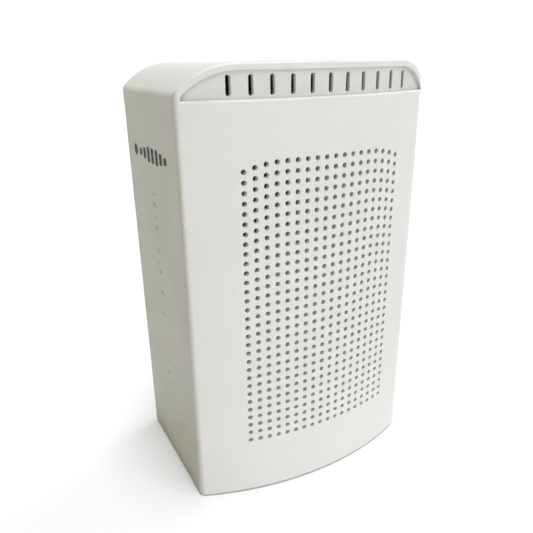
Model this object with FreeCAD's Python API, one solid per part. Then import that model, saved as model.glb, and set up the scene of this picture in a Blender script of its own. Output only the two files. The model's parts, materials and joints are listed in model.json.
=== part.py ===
import FreeCAD, Part
import math
import os

# Optical network terminal: a free-standing tower gateway, in millimetres.
# +Z is up, the perforated face looks along -Y, the indicators are on -X and the ports on +X.
# The origin is at the centre of the footprint, on the surface that the feet stand on.

Vector = FreeCAD.Vector

# ---------------------------------------------------------------- shell
WIDTH = 142.5
DEPTH = 94.6
HEIGHT = 226.5
FOOT_DROP = 0.8  # how far the feet hold the shell off the table
FRONT_RADIUS = 177.0  # plan radius of the bulging front
# each side of the shell: the rounding of its vertical front edge, then its top corner seen from the
# front, which is cut off at 45 degrees and rounded where the cut meets the top and where it meets the side
LEFT_SIDE = {"edge": 4.0, "cut": 12.0, "upper": 36.0, "lower": 4.0}
RIGHT_SIDE = {"edge": 17.0, "cut": 16.0, "upper": 24.0, "lower": 7.0}
HALF_BEND = math.pi / 8  # half of the 45 degree turn at each end of the cut
RIM_ROUNDING = 0.8
BACK_ROUNDING = 1.2
CREASE_BACK = -15.0  # the crease between front and top lies in front of this
WALL = 2.5
OVERRUN = 5.0  # how far a cutting tool runs past the face it cuts

HALF = WIDTH / 2
FRONT = -DEPTH / 2
BACK = DEPTH / 2
BULGE_CENTRE = FRONT + FRONT_RADIUS
SIDE_WALL = HALF - WALL  # inner face of a side wall

# ---------------------------------------------------------------- vent band under the top rim
RIM = 3.0
RECESS_BOTTOM = 211.7
RECESS_DEPTH = 2.5
RECESS_WALL = 2.0
LEDGE_ROUNDING = 1.2
LEDGE_REACH = 0.012
PAD_BOTTOM = 207.5  # the wall behind the recess starts here
SLOT_COUNT = 11
SLOT_PITCH = 9.65
SLOT_WIDTH = 2.2
SLOT_BOTTOM = 213.0
SLOT_TOP = 221.7

# ---------------------------------------------------------------- perforation
HOLE_COLUMNS = 18
HOLE_ROWS = 31
HOLE_PITCH_X = 5.16
HOLE_PITCH_Z = 5.0
HOLE_RADIUS = 1.25
HOLE_BOTTOM = 34.4
HOLE_ARCH_RADIUS = 57.0  # the top row bends down along this radius at both ends
HOLE_FLAT_COLUMNS = 10  # columns whose top row is level

# ---------------------------------------------------------------- indicator side
MARK_Y = 7.0  # the column that the indicators and the button share
LED_TOP = 164.1
LED_PITCH = 12.4
LED_COUNT = 6
BUTTON_LED_Z = 67.0
PIPE_RADIUS = 0.8
PIPE_CLEARANCE = 0.08
WPS_Z = 59.3
WPS_RADIUS = 5.2
WPS_HOLE_RADIUS = 5.5
LED_BOARD_X = -61.2  # face of the small board that looks at the side wall
LED_BOARD_THICKNESS = 1.2
LED_BOARD_SCREWS = (49.5, 170.5)

# ---------------------------------------------------------------- boards
BOARD_FRONT = 28.0
BOARD_THICKNESS = 1.6
BOARD_LEFT = -60.0
BOARD_RIGHT = 65.0
BOARD_BOTTOM = 15.0
BOARD_TOP = 206.0
BOARD_SCREWS = ((-55, 21), (41, 21), (-55, 112), (0, 137), (-55, 200), (41, 200))
COVER_FACE = 44.1  # inner face of the rear cover
COVER_THICKNESS = 2.5
COVER_GAP = 0.25
PLATE_THICKNESS = 2.5

# ---------------------------------------------------------------- ports
PORT_FACE = 68.0  # mouths of the sockets
PANEL_FACE = 68.75
PANEL_THICKNESS = 2.0
PORT_Y = 21.5
WINDOW = (6.0, 37.0, 21.0, 201.8)  # opening in the side wall: y, y, z, z
PANEL_MARGIN = 2.6
LAN_Z = (78.0, 95.5, 113.0, 130.5)
PHONE_Z = 149.0
USB_Z = 166.0
DC_Z = 182.0
POWER_Z = 197.0
RESET_Z = 65.5
WIFI_Z = 56.0
FIBRE_Z = 34.0
FIBRE_Y = 20.5
SOCKET_FLOOR = 25.0  # where the contacts lie in the modular sockets

# ---------------------------------------------------------------- fasteners
BOSS_RADIUS = 3.2
PILOT_RADIUS = 1.3
SCREW_RADIUS = 1.25
COVER_BOSSES = ((-57, 212), (57, 212), (-62.5, 10.5), (62.5, 10.5))
BASE_BOSSES = ((-60, -20), (60, -20), (-60, 12), (60, 12))
FEET = ((-49, -26), (49, -26), (-49, 32), (49, 32))
FOOT_RADIUS = 6.0

# ---------------------------------------------------------------- cooling
PROCESSOR = (-5.0, 100.0)
SINK_HALF = 28.0
SINK_FINS = 9
SINK_BASE = 2.5
SINK_FIN_HEIGHT = 12.0
SINK_FIN_THICKNESS = 1.2
SINK_PINS = ((-29.0, 124.0), (19.0, 76.0))
SHIELDS = {"radio_shield_upper": (-27.0, 184.0), "radio_shield_lower": (-27.0, 153.0)}
SHIELD_HALF = (18.0, 13.0)
SHIELD_HEIGHT = 3.2
SHIELD_SHEET = 0.3

# ---------------------------------------------------------------- cords inside the shell
FIBRE_RADIUS = 0.45
LOOP_RADIUS = 16.0
LOOP_CENTRE_X = 12.0
LOOP_SIDES = 8
NOSE_TIP = -7.0
FERRULE_BACK = 31.0
COAX_RADIUS = 0.6
COAX_Y = 27.2
COAX_ROUTES = (
    ((-4, COAX_Y, 193.7), (-4, COAX_Y, 199), (-9, 20, 205.5), (-20, 8.5, 207.5), (-20, 7.5, 217)),
    ((2, COAX_Y, 193.7), (2, COAX_Y, 199), (7, 20, 205.5), (20, 8.5, 207.5), (20, 7.5, 217)),
    ((-51.7, COAX_Y, 158), (-57, COAX_Y, 158), (-62.5, 26, 156.5), (-65.1, 25, 151), (-65.1, 25, 143)),
    ((24, COAX_Y, 151.7), (24, 26, 158), (30, 17, 163), (44, 3, 164), (57, -9, 160), (65.1, -17, 154),
     (65.1, -17, 144)),
)
COAX_PLUGS = ((-4, 192), (2, 192), (-50, 158), (24, 150))


# ================================================================ helpers
def box(x0, x1, y0, y1, z0, z1):
    return Part.makeBox(x1 - x0, y1 - y0, z1 - z0, Vector(x0, y0, z0))


def rod(radius, start, end):
    """A cylinder between two points."""
    line = Vector(*end) - Vector(*start)
    return Part.makeCylinder(radius, line.Length, Vector(*start), line)


def taper(radius0, radius1, start, end):
    line = Vector(*end) - Vector(*start)
    return Part.makeCone(radius0, radius1, line.Length, Vector(*start), line)


def middle(edge):
    return edge.valueAt((edge.FirstParameter + edge.LastParameter) / 2)


def soft_box(x0, x1, y0, y1, z0, z1, radius, axis):
    """A box whose four edges along the axis (0, 1 or 2) are rounded."""
    solid = box(x0, x1, y0, y1, z0, z1)
    edges = []
    for edge in solid.Edges:
        step = edge.lastVertex().Point - edge.firstVertex().Point
        across = [abs(step[i]) for i in range(3) if i != axis]
        if max(across) < 1e-6:
            edges.append(edge)
    return solid.makeFillet(radius, edges)


def join(solids):
    first = solids[0]
    return first.fuse(solids[1:]).removeSplitter()


def group(solids):
    return Part.makeCompound(solids)


def slot(x, z0, z1, y0, y1, radius):
    """An upright slot with round ends, cut along Y."""
    low = z0 + radius
    high = z1 - radius
    return join([
        box(x - radius, x + radius, y0, y1, low, high),
        rod(radius, (x, y0, low), (x, y1, low)),
        rod(radius, (x, y0, high), (x, y1, high)),
    ])


def level_slot(x0, x1, z, y0, y1, radius):
    """A level slot with round ends, cut along Y."""
    low = x0 + radius
    high = x1 - radius
    return join([
        box(low, high, y0, y1, z - radius, z + radius),
        rod(radius, (low, y0, z), (low, y1, z)),
        rod(radius, (high, y0, z), (high, y1, z)),
    ])


def unit(vector):
    copy = Vector(vector)
    copy.normalize()
    return copy


def cord(points, radius, name):
    """A round cord along straight runs that tangent arcs join, each as large as its runs allow."""
    corners = [Vector(*p) for p in points]
    edges = []
    at = corners[0]
    radii = []
    for before, corner, after in zip(corners, corners[1:], corners[2:]):
        into = unit(corner - before)
        out = unit(after - corner)
        turn = into.getAngle(out)
        short = min((corner - before).Length, (after - corner).Length)
        cut = 0.45 * short
        bend = cut / math.tan(turn / 2)
        radii.append(round(bend, 1))
        start = corner - into * cut
        end = corner + out * cut
        inward = unit(out - into)
        centre = corner + inward * (bend / math.cos(turn / 2))
        top = centre - inward * bend
        edges.append(Part.LineSegment(at, start).toShape())
        edges.append(Part.Arc(start, top, end).toShape())
        at = end
    edges.append(Part.LineSegment(at, corners[-1]).toShape())
    path = Part.Wire(edges)
    ring = Part.Wire([Part.makeCircle(radius, corners[0], unit(corners[1] - corners[0]))])
    tube = path.makePipeShell([ring], True, True)
    print(name, "length", round(path.Length, 1), "radii", radii)
    print(name, "volume ratio", round(tube.Volume / (math.pi * radius**2 * path.Length), 4))
    return tube


# ================================================================ outlines of the shell
def plan_corner(style, sign, inset, bottom):
    """The rounding of a vertical front edge: from the side, over its middle, to the front."""
    radius = style["edge"]
    corner_x = HALF - radius
    reach = FRONT_RADIUS - radius
    corner_y = BULGE_CENTRE - math.sqrt(reach**2 - corner_x**2)
    turn = math.atan2(corner_y - BULGE_CENTRE, corner_x)
    points = []
    for angle in (0, turn / 2, turn):
        x = corner_x + (radius - inset) * math.cos(angle)
        y = corner_y + (radius - inset) * math.sin(angle)
        points.append(Vector(sign * x, y, bottom))
    return points


def plan_prism(inset, back, bottom, top, left=LEFT_SIDE, right=RIGHT_SIDE):
    """The shell seen from above, moved in by inset, as an upright prism."""
    left_corner = plan_corner(left, -1, inset, bottom)
    right_corner = plan_corner(right, 1, inset, bottom)
    apex = Vector(0, FRONT + inset, bottom)
    left_rear = Vector(inset - HALF, back, bottom)
    right_rear = Vector(HALF - inset, back, bottom)
    wire = Part.Wire([
        Part.LineSegment(right_rear, right_corner[0]).toShape(),
        Part.Arc(*right_corner).toShape(),
        Part.Arc(right_corner[2], apex, left_corner[2]).toShape(),
        Part.Arc(*reversed(left_corner)).toShape(),
        Part.LineSegment(left_corner[0], left_rear).toShape(),
        Part.LineSegment(left_rear, right_rear).toShape(),
    ])
    return Part.Face(wire).extrude(Vector(0, 0, top - bottom))


def arch_corner(style, sign, inset, y):
    """A top corner seen from the front: the lower rounding and the upper one, three points each."""
    tangent = math.tan(HALF_BEND)
    lower_centre = (HALF - style["lower"], HEIGHT - style["cut"] - style["lower"] * tangent)
    upper_centre = (HALF - style["cut"] - style["upper"] * tangent, HEIGHT - style["upper"])
    arcs = []
    for (x, z), radius, first in ((lower_centre, style["lower"], 0), (upper_centre, style["upper"], 2)):
        reach = radius - inset
        turns = [(first + k) * HALF_BEND for k in range(3)]
        arcs.append([Vector(sign * (x + reach * math.cos(t)), y, z + reach * math.sin(t)) for t in turns])
    return arcs


def arch_prism(inset, bottom, y0, y1, left=LEFT_SIDE, right=RIGHT_SIDE):
    """The shell seen from the front, moved in by inset, as a prism along Y."""
    left_lower, left_upper = arch_corner(left, -1, inset, y0)
    right_lower, right_upper = arch_corner(right, 1, inset, y0)
    left_foot = Vector(inset - HALF, y0, bottom)
    right_foot = Vector(HALF - inset, y0, bottom)
    wire = Part.Wire([
        Part.LineSegment(left_foot, left_lower[0]).toShape(),
        Part.Arc(*left_lower).toShape(),
        Part.LineSegment(left_lower[2], left_upper[0]).toShape(),
        Part.Arc(*left_upper).toShape(),
        Part.LineSegment(left_upper[2], right_upper[2]).toShape(),
        Part.Arc(*reversed(right_upper)).toShape(),
        Part.LineSegment(right_upper[0], right_lower[2]).toShape(),
        Part.Arc(*reversed(right_lower)).toShape(),
        Part.LineSegment(right_lower[0], right_foot).toShape(),
        Part.LineSegment(right_foot, left_foot).toShape(),
    ])
    return Part.Face(wire).extrude(Vector(0, y1 - y0, 0))


def outer_half(style):
    """The left half of a shell whose two sides share one style."""
    block = plan_prism(0, BACK, FOOT_DROP, HEIGHT + OVERRUN, style, style)
    block = block.common(arch_prism(0, FOOT_DROP - OVERRUN, FRONT - OVERRUN, BACK + OVERRUN, style, style))
    arch_foot = HEIGHT - style["cut"] - style["lower"]
    crease = [edge for edge in block.Edges
              if edge.BoundBox.YMax < CREASE_BACK and edge.BoundBox.ZMin > arch_foot]
    block = block.makeFillet(RIM_ROUNDING, crease)
    rear = [edge for edge in block.Edges
            if edge.BoundBox.YMin > BACK - 0.01 and edge.BoundBox.ZMax > FOOT_DROP + 0.01]
    block = block.makeFillet(BACK_ROUNDING, rear)
    return block.common(box(-HALF, 0, FRONT, BACK, 0, HEIGHT))


def outer_block():
    """The solid outline of the shell: each half is made as a left one, and the right one is mirrored."""
    right = outer_half(RIGHT_SIDE).mirror(Vector(0, 0, 0), Vector(1, 0, 0))
    return join([outer_half(LEFT_SIDE), right])


def inner_block():
    """The hollow of the shell, open at the back and underneath."""
    hollow = plan_prism(WALL, BACK + OVERRUN, FOOT_DROP - OVERRUN, HEIGHT)
    hollow = hollow.common(arch_prism(WALL, FOOT_DROP - OVERRUN, FRONT, BACK + OVERRUN))
    pad = box(-HALF, HALF, FRONT, 0, PAD_BOTTOM, HEIGHT)
    core_radius = FRONT_RADIUS - RECESS_DEPTH - RECESS_WALL
    core = Part.makeCylinder(core_radius, HEIGHT, Vector(0, BULGE_CENTRE, 0))
    return hollow.cut(pad.cut(core))


def vent_recess():
    """The set-back band under the rim: a turned step, cut off by the arch inside the rim."""
    wall = FRONT_RADIUS - RECESS_DEPTH
    y = BULGE_CENTRE
    # the rounding runs just past the front face, so that it meets the face at a clean edge
    reach = FRONT_RADIUS + LEDGE_REACH
    nose = Vector(reach - LEDGE_ROUNDING, y, RECESS_BOTTOM - LEDGE_ROUNDING)
    bend = Vector(1, 0, 1) * (LEDGE_ROUNDING * math.sqrt(0.5))
    top_inner = Vector(wall, y, HEIGHT)
    root = Vector(wall, y, RECESS_BOTTOM)
    nose_top = Vector(nose.x, y, RECESS_BOTTOM)
    nose_front = Vector(reach, y, nose.z)
    low_outer = Vector(FRONT_RADIUS + OVERRUN, y, nose.z)
    top_outer = Vector(FRONT_RADIUS + OVERRUN, y, HEIGHT)
    wire = Part.Wire([
        Part.LineSegment(top_inner, root).toShape(),
        Part.LineSegment(root, nose_top).toShape(),
        Part.Arc(nose_top, nose + bend, nose_front).toShape(),
        Part.LineSegment(nose_front, low_outer).toShape(),
        Part.LineSegment(low_outer, top_outer).toShape(),
        Part.LineSegment(top_outer, top_inner).toShape(),
    ])
    ring = Part.Face(wire).revolve(Vector(0, y, 0), Vector(0, 0, 1), 360)
    return ring.common(arch_prism(RIM, RECESS_BOTTOM - 2 * LEDGE_ROUNDING, FRONT - OVERRUN, 0))


def perforation():
    """The grid of round holes: level at the bottom, bent down at both ends of the top row."""
    holes = []
    flat = (HOLE_FLAT_COLUMNS - 1) / 2 * HOLE_PITCH_X
    for column in range(HOLE_COLUMNS):
        x = (column - (HOLE_COLUMNS - 1) / 2) * HOLE_PITCH_X
        beyond = max(0.0, abs(x) - flat)
        drop = HOLE_ARCH_RADIUS - math.sqrt(HOLE_ARCH_RADIUS**2 - beyond**2)
        rise = HOLE_PITCH_Z - drop / (HOLE_ROWS - 1)
        for row in range(HOLE_ROWS):
            z = HOLE_BOTTOM + row * rise
            holes.append(rod(HOLE_RADIUS, (x, FRONT - 1, z), (x, FRONT + 14, z)))
    return group(holes)


def vent_slots():
    slots = []
    for i in range(SLOT_COUNT):
        x = (i - (SLOT_COUNT - 1) / 2) * SLOT_PITCH
        slots.append(slot(x, SLOT_BOTTOM, SLOT_TOP, FRONT - 1, FRONT + 20, SLOT_WIDTH / 2))
    return group(slots)


def led_heights():
    return [LED_TOP - i * LED_PITCH for i in range(LED_COUNT)] + [BUTTON_LED_Z]


# ================================================================ housing details
def cover_bosses():
    """Posts that the rear cover is screwed to, each tied to a wall by a rib."""
    solids = []
    for x, z in COVER_BOSSES:
        solids.append(rod(BOSS_RADIUS, (x, 24, z), (x, COVER_FACE, z)))
        if z > HEIGHT / 2:
            rib = box(x - 0.8, x + 0.8, 24, COVER_FACE, z, HEIGHT)
            solids.append(rib.common(arch_prism(WALL / 2, 0, FRONT, BACK)))
        else:
            wall = math.copysign(SIDE_WALL + 1, x)
            solids.append(box(min(x, wall), max(x, wall), 24, COVER_FACE, z - 0.8, z + 0.8))
    return solids


def base_bosses():
    floor = FOOT_DROP + PLATE_THICKNESS
    solids = []
    for x, y in BASE_BOSSES:
        wall = math.copysign(SIDE_WALL + 1, x)
        solids.append(rod(BOSS_RADIUS, (x, y, floor), (x, y, 16)))
        solids.append(box(min(x, wall), max(x, wall), y - 0.8, y + 0.8, floor, 16))
    return solids


def led_board_bosses():
    return [rod(2.8, (LED_BOARD_X, MARK_Y, z), (-SIDE_WALL - 1, MARK_Y, z)) for z in LED_BOARD_SCREWS]


def antenna_clips():
    """Small forks in the shell that hold the antenna strips by their edges."""
    solids = []
    for x in (-44, -14, 14, 44):
        fork = box(x - 1.5, x + 1.5, 4.6, 8.2, 214, HEIGHT - WALL + 0.5)
        solids.append(fork.cut(box(x - 2, x + 2, 5.9, 6.9, 213, 222.7)))
    for z in (122, 156):
        fork = box(-SIDE_WALL - 1, -64.6, 18.5, 24, z - 1.5, z + 1.5)
        solids.append(fork.cut(box(-66.7, -65.7, 19.9, 25, z - 2, z + 2)))
    for z in (132, 168):
        fork = box(64.6, SIDE_WALL + 1, -24, -18.5, z - 1.5, z + 1.5)
        solids.append(fork.cut(box(65.7, 66.7, -22.1, -18, z - 2, z + 2)))
    return solids


def panel_rail():
    """The channel that takes the front edge of the port panel."""
    leg = box(62.5, SIDE_WALL + 1, 0.9, 2.7, 18, 205)
    foot = box(64.2, 66.5, 2.7, 5.4, 18, 205)
    return [leg, foot]


def pilot_holes():
    solids = []
    for x, z in COVER_BOSSES:
        solids.append(rod(PILOT_RADIUS, (x, 32, z), (x, COVER_FACE + 1, z)))
    for x, y in BASE_BOSSES:
        solids.append(rod(PILOT_RADIUS, (x, y, FOOT_DROP), (x, y, 14.5)))
    for z in LED_BOARD_SCREWS:
        solids.append(rod(1.0, (LED_BOARD_X + 1, MARK_Y, z), (-67, MARK_Y, z)))
    return solids


def main_housing():
    shell = outer_block().cut(inner_block())
    shell = shell.fuse(cover_bosses() + base_bosses() + led_board_bosses() + antenna_clips() + panel_rail())
    y0, y1, z0, z1 = WINDOW
    window = soft_box(SIDE_WALL - 1, HALF + 1, y0, y1, z0, z1, 5.0, 0)
    button_hole = rod(WPS_HOLE_RADIUS, (-HALF - 1, MARK_Y, WPS_Z), (-SIDE_WALL + 1, MARK_Y, WPS_Z))
    pipe_hole = PIPE_RADIUS + PIPE_CLEARANCE
    pipe_holes = [rod(pipe_hole, (-HALF - 1, MARK_Y, z), (-SIDE_WALL + 1, MARK_Y, z)) for z in led_heights()]
    shell = shell.cut([vent_recess(), window, button_hole] + pipe_holes + pilot_holes())
    shell = shell.cut(vent_slots())
    return shell.cut(perforation())


# ================================================================ covers, panel, feet
def keyhole(x, z):
    """A round entry with a narrow slot above it, for a screw head on a wall."""
    entry = rod(4.5, (x, COVER_FACE - 1, z), (x, BACK, z))
    return entry.fuse(slot(x, z - 2.3, z + 11.3, COVER_FACE - 1, BACK, 2.3))


def cover_vents():
    slots = []
    for i in range(20):
        z = 60 + 6 * i
        slots.append(level_slot(-46, -5, z, COVER_FACE - 1, BACK, 1.1))
        slots.append(level_slot(5, 46, z, COVER_FACE - 1, BACK, 1.1))
    return slots


def rear_cover():
    outside = COVER_FACE + COVER_THICKNESS
    cover = arch_prism(WALL + COVER_GAP, FOOT_DROP, COVER_FACE, outside)
    rim = [edge for edge in cover.Edges if edge.BoundBox.YMin > outside - 0.01]
    cover = cover.makeFillet(0.5, rim)
    board_back = BOARD_FRONT + BOARD_THICKNESS
    posts = [rod(3.0, (x, board_back, z), (x, COVER_FACE + 0.5, z)) for x, z in BOARD_SCREWS]
    tabs = [box(64.2, 66.5, 38, COVER_FACE + 0.5, z, z + 20) for z in (30, 170)]
    cover = cover.fuse(posts + tabs)
    cuts = [keyhole(-30, 184), keyhole(30, 184)] + cover_vents()
    for x, z in COVER_BOSSES:
        cuts.append(rod(1.6, (x, COVER_FACE - 1, z), (x, BACK, z)))
        cuts.append(rod(3.4, (x, outside - 1.2, z), (x, BACK, z)))
    for x, z in BOARD_SCREWS:
        cuts.append(rod(1.1, (x, board_back - 1, z), (x, COVER_FACE - 3, z)))
    cuts.append(soft_box(-32, 32, outside - 0.4, BACK, 18, 50, 2.0, 1))
    return cover.cut(cuts)


def base_plate():
    top = FOOT_DROP + PLATE_THICKNESS
    plate = plan_prism(WALL + COVER_GAP, COVER_FACE - COVER_GAP, FOOT_DROP, top)
    cuts = []
    for x, y in FEET:
        cuts.append(rod(FOOT_RADIUS + 0.3, (x, y, 0), (x, y, FOOT_DROP + 0.6)))
    for x, y in BASE_BOSSES:
        cuts.append(rod(1.6, (x, y, 0), (x, y, top + 1)))
        cuts.append(rod(3.1, (x, y, 0), (x, y, FOOT_DROP + 1.3)))
    for i in range(13):
        x = (i - 6) * 6
        cuts.append(soft_box(x - 1.1, x + 1.1, -22, 6, 0, top + 1, 1.0, 2))
        cuts.append(soft_box(x - 1.1, x + 1.1, 10, 38, 0, top + 1, 1.0, 2))
    return plate.cut(cuts)


def rubber_feet():
    feet = []
    for x, y in FEET:
        foot = rod(FOOT_RADIUS, (x, y, 0), (x, y, FOOT_DROP + 0.6))
        lower = [edge for edge in foot.Edges if edge.BoundBox.ZMax < 0.01]
        feet.append(foot.makeFillet(0.4, lower))
    return group(feet)


def port_panel():
    y0, y1, z0, z1 = WINDOW
    inside = PANEL_FACE - PANEL_THICKNESS
    m = PANEL_MARGIN
    panel = soft_box(inside, PANEL_FACE, y0 - m, y1 + m, z0 - m, z1 + m, 4.0, 0)
    near = inside - 1
    far = PANEL_FACE + 1
    cuts = [soft_box(near, far, 14.3, 28.3, z - 8.3, z + 8.3, 0.8, 0) for z in LAN_Z]
    cuts.append(soft_box(near, far, 14.9, 28.3, PHONE_Z - 6.9, PHONE_Z + 6.9, 0.8, 0))
    cuts.append(soft_box(near, far, 20.9, 27.2, USB_Z - 6.85, USB_Z + 6.85, 0.5, 0))
    cuts.append(rod(4.2, (near, PORT_Y, DC_Z), (far, PORT_Y, DC_Z)))
    cuts.append(rod(4.7, (near, PORT_Y, POWER_Z), (far, PORT_Y, POWER_Z)))
    cuts.append(rod(1.1, (near, PORT_Y, RESET_Z), (far, PORT_Y, RESET_Z)))
    cuts.append(rod(3.5, (near, PORT_Y, WIFI_Z), (far, PORT_Y, WIFI_Z)))
    cuts.append(soft_box(near, far, FIBRE_Y - 4.95, FIBRE_Y + 4.95, FIBRE_Z - 6.8, FIBRE_Z + 6.8, 0.8, 0))
    return panel.cut(cuts)


# ================================================================ fasteners
def pan_screw(head_radius, head_height, length, seat, direction):
    """A cross-recessed screw whose head sits on the seat point and whose shank runs along direction."""
    way = unit(Vector(*direction))
    base = Vector(*seat)
    head = Part.makeCylinder(head_radius, head_height, base - way * head_height, way)
    rim = [edge for edge in head.Edges if (middle(edge) - base).dot(way) < -head_height + 0.01]
    head = head.makeFillet(0.4, rim)
    shank = Part.makeCylinder(SCREW_RADIUS if head_radius > 2.6 else 0.95, length, base - way * 0.2, way)
    screw = head.fuse(shank)
    side = Vector(way.z, way.x, way.y)
    other = way.cross(side)
    top = base - way * (head_height - 0.45)
    for bar, rest in ((side, other), (other, side)):
        corner = top - bar * (0.6 * head_radius) - rest * 0.3 - way * 1.0
        wire = Part.makePolygon([corner, corner + bar * (1.2 * head_radius),
                                 corner + bar * (1.2 * head_radius) + rest * 0.6,
                                 corner + rest * 0.6, corner])
        screw = screw.cut(Part.Face(wire).extrude(way * 1.0))
    return screw


def cover_screws():
    seat = COVER_FACE + COVER_THICKNESS - 1.2
    return group([pan_screw(2.9, 1.1, 10, (x, seat, z), (0, -1, 0)) for x, z in COVER_BOSSES])


def base_screws():
    seat = FOOT_DROP + 1.3
    return group([pan_screw(2.8, 1.1, 10, (x, y, seat), (0, 0, 1)) for x, y in BASE_BOSSES])


def board_screws():
    return group([pan_screw(2.5, 1.6, 9, (x, BOARD_FRONT, z), (0, 1, 0)) for x, z in BOARD_SCREWS])


def led_board_screws():
    seat = LED_BOARD_X + LED_BOARD_THICKNESS
    return group([pan_screw(2.1, 1.4, 6, (seat, MARK_Y, z), (-1, 0, 0)) for z in LED_BOARD_SCREWS])


# ================================================================ main board and what sits on it
def on_board(x0, x1, z0, z1, height, radius=0.3):
    """A moulded block on the front of the main board."""
    return soft_box(x0, x1, BOARD_FRONT - height, BOARD_FRONT, z0, z1, radius, 1)


def main_board():
    back = BOARD_FRONT + BOARD_THICKNESS
    board = soft_box(BOARD_LEFT, BOARD_RIGHT, BOARD_FRONT, back, BOARD_BOTTOM, BOARD_TOP, 2.0, 1)
    cuts = [rod(1.4, (x, BOARD_FRONT - 1, z), (x, back + 1, z)) for x, z in BOARD_SCREWS]
    cuts += [rod(1.6, (x, BOARD_FRONT - 1, z), (x, back + 1, z)) for x, z in SINK_PINS]
    return board.cut(cuts)


def main_processor():
    x, z = PROCESSOR
    body = on_board(x - 10.5, x + 10.5, z - 10.5, z + 10.5, 0.7)
    lid = soft_box(x - 8.5, x + 8.5, BOARD_FRONT - 1.4, BOARD_FRONT - 0.6, z - 8.5, z + 8.5, 1.0, 1)
    return join([body, lid])


def thermal_pad():
    x, z = PROCESSOR
    return soft_box(x - 8, x + 8, BOARD_FRONT - 2.0, BOARD_FRONT - 1.4, z - 8, z + 8, 0.5, 1)


def heat_sink():
    x, z = PROCESSOR
    face = BOARD_FRONT - 2.0
    root = face - SINK_BASE
    left = x - SINK_HALF
    step = (2 * SINK_HALF - SINK_FIN_THICKNESS) / (SINK_FINS - 1)
    solids = [box(left, x + SINK_HALF, root, face, z - SINK_HALF, z + SINK_HALF)]
    for i in range(SINK_FINS):
        fin = left + i * step
        solids.append(box(fin, fin + SINK_FIN_THICKNESS, root - SINK_FIN_HEIGHT, root + 0.5,
                          z - SINK_HALF, z + SINK_HALF))
    sink = join(solids)
    return sink.cut([rod(1.6, (px, root - 1, pz), (px, face + 1, pz)) for px, pz in SINK_PINS])


def heat_sink_pins():
    pins = []
    root = BOARD_FRONT - 2.0 - SINK_BASE
    back = BOARD_FRONT + BOARD_THICKNESS
    for x, z in SINK_PINS:
        pins.append(join([
            rod(2.4, (x, root - 1.8, z), (x, root - 0.1, z)),
            rod(1.4, (x, root - 0.5, z), (x, back + 0.5, z)),
            taper(2.0, 1.0, (x, back + 0.1, z), (x, back + 2.4, z)),
        ]))
    return group(pins)


def memory_chips():
    return group([
        on_board(-19, -8, 56, 68, 1.0),
        on_board(-4, 7, 56, 68, 1.0),
        on_board(13, 21, 57, 67, 1.2),
    ])


def radio_chips():
    return group([on_board(x - 5, x + 5, z - 5, z + 5, 1.0) for x, z in SHIELDS.values()])


def radio_shield(name):
    """A pressed lid over a radio, with a field of small holes."""
    x, z = SHIELDS[name]
    half_x, half_z = SHIELD_HALF
    t = SHIELD_SHEET
    lid = on_board(x - half_x, x + half_x, z - half_z, z + half_z, SHIELD_HEIGHT, 1.0)
    hollow = soft_box(x - half_x + t, x + half_x - t, BOARD_FRONT - SHIELD_HEIGHT + t, BOARD_FRONT + 1,
                      z - half_z + t, z + half_z - t, 0.7, 1)
    holes = []
    for i in range(-4, 5):
        for j in range(-2, 3):
            at = (x + 3.5 * i, z + 4.0 * j)
            holes.append(rod(0.8, (at[0], BOARD_FRONT - SHIELD_HEIGHT - 1, at[1]),
                             (at[0], BOARD_FRONT - SHIELD_HEIGHT + 1, at[1])))
    return lid.cut([hollow] + holes)


def lan_transformers():
    return group([on_board(32.5, 42.5, z - 6.5, z + 6.5, 6.5, 0.5) for z in LAN_Z])


def power_coils():
    coils = []
    for x, z in ((16, 186), (16, 171), (31, 171)):
        block = on_board(x - 6, x + 6, z - 6, z + 6, 5.5, 1.5)
        coils.append(block.cut(rod(2.6, (x, BOARD_FRONT - 6, z), (x, BOARD_FRONT - 5.1, z))))
    return group(coils)


def capacitors():
    cans = []
    places = ((31, 184, 4, 12), (31, 195, 4, 12), (44, 190, 3.2, 10), (46, 172, 4, 12), (44, 60, 3.2, 10))
    for x, z, radius, height in places:
        can = rod(radius, (x, BOARD_FRONT - height, z), (x, BOARD_FRONT, z))
        top = [edge for edge in can.Edges if edge.BoundBox.YMax < BOARD_FRONT - height + 0.01]
        can = can.makeFillet(0.5, top)
        groove_y = BOARD_FRONT - 2.2
        groove = rod(radius + 1, (x, groove_y, z), (x, groove_y + 0.7, z))
        cans.append(can.cut(groove.cut(rod(radius - 0.3, (x, groove_y - 1, z), (x, groove_y + 2, z)))))
    return group(cans)


# ================================================================ fibre line
def optical_module():
    """The laser and receiver block, with its round nose towards the fibre."""
    y = 23.0
    body = on_board(-35, -13, FIBRE_Z - 6, FIBRE_Z + 6, 9.0, 0.8)
    nose = rod(2.9, (-13.5, y, FIBRE_Z), (-9, y, FIBRE_Z))
    tip = rod(1.8, (-9.5, y, FIBRE_Z), (NOSE_TIP, y, FIBRE_Z))
    return join([body, nose, tip])


def fibre_pigtail():
    """The fibre inside: straight out of the module, once round a loop, and into the ferrule."""
    centre_z = FIBRE_Z + LOOP_RADIUS
    reach = LOOP_RADIUS / math.cos(math.pi / LOOP_SIDES)
    start_y = 23.0
    points = [(NOSE_TIP, start_y, FIBRE_Z)]
    for i in range(LOOP_SIDES):
        angle = -math.pi / 2 + (2 * i + 1) * math.pi / LOOP_SIDES
        y = start_y - (start_y - FIBRE_Y) * (i + 1) / LOOP_SIDES
        points.append((LOOP_CENTRE_X + reach * math.cos(angle), y, centre_z + reach * math.sin(angle)))
    points.append((FERRULE_BACK, FIBRE_Y, FIBRE_Z))
    return cord(points, FIBRE_RADIUS, "fibre_pigtail")


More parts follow.
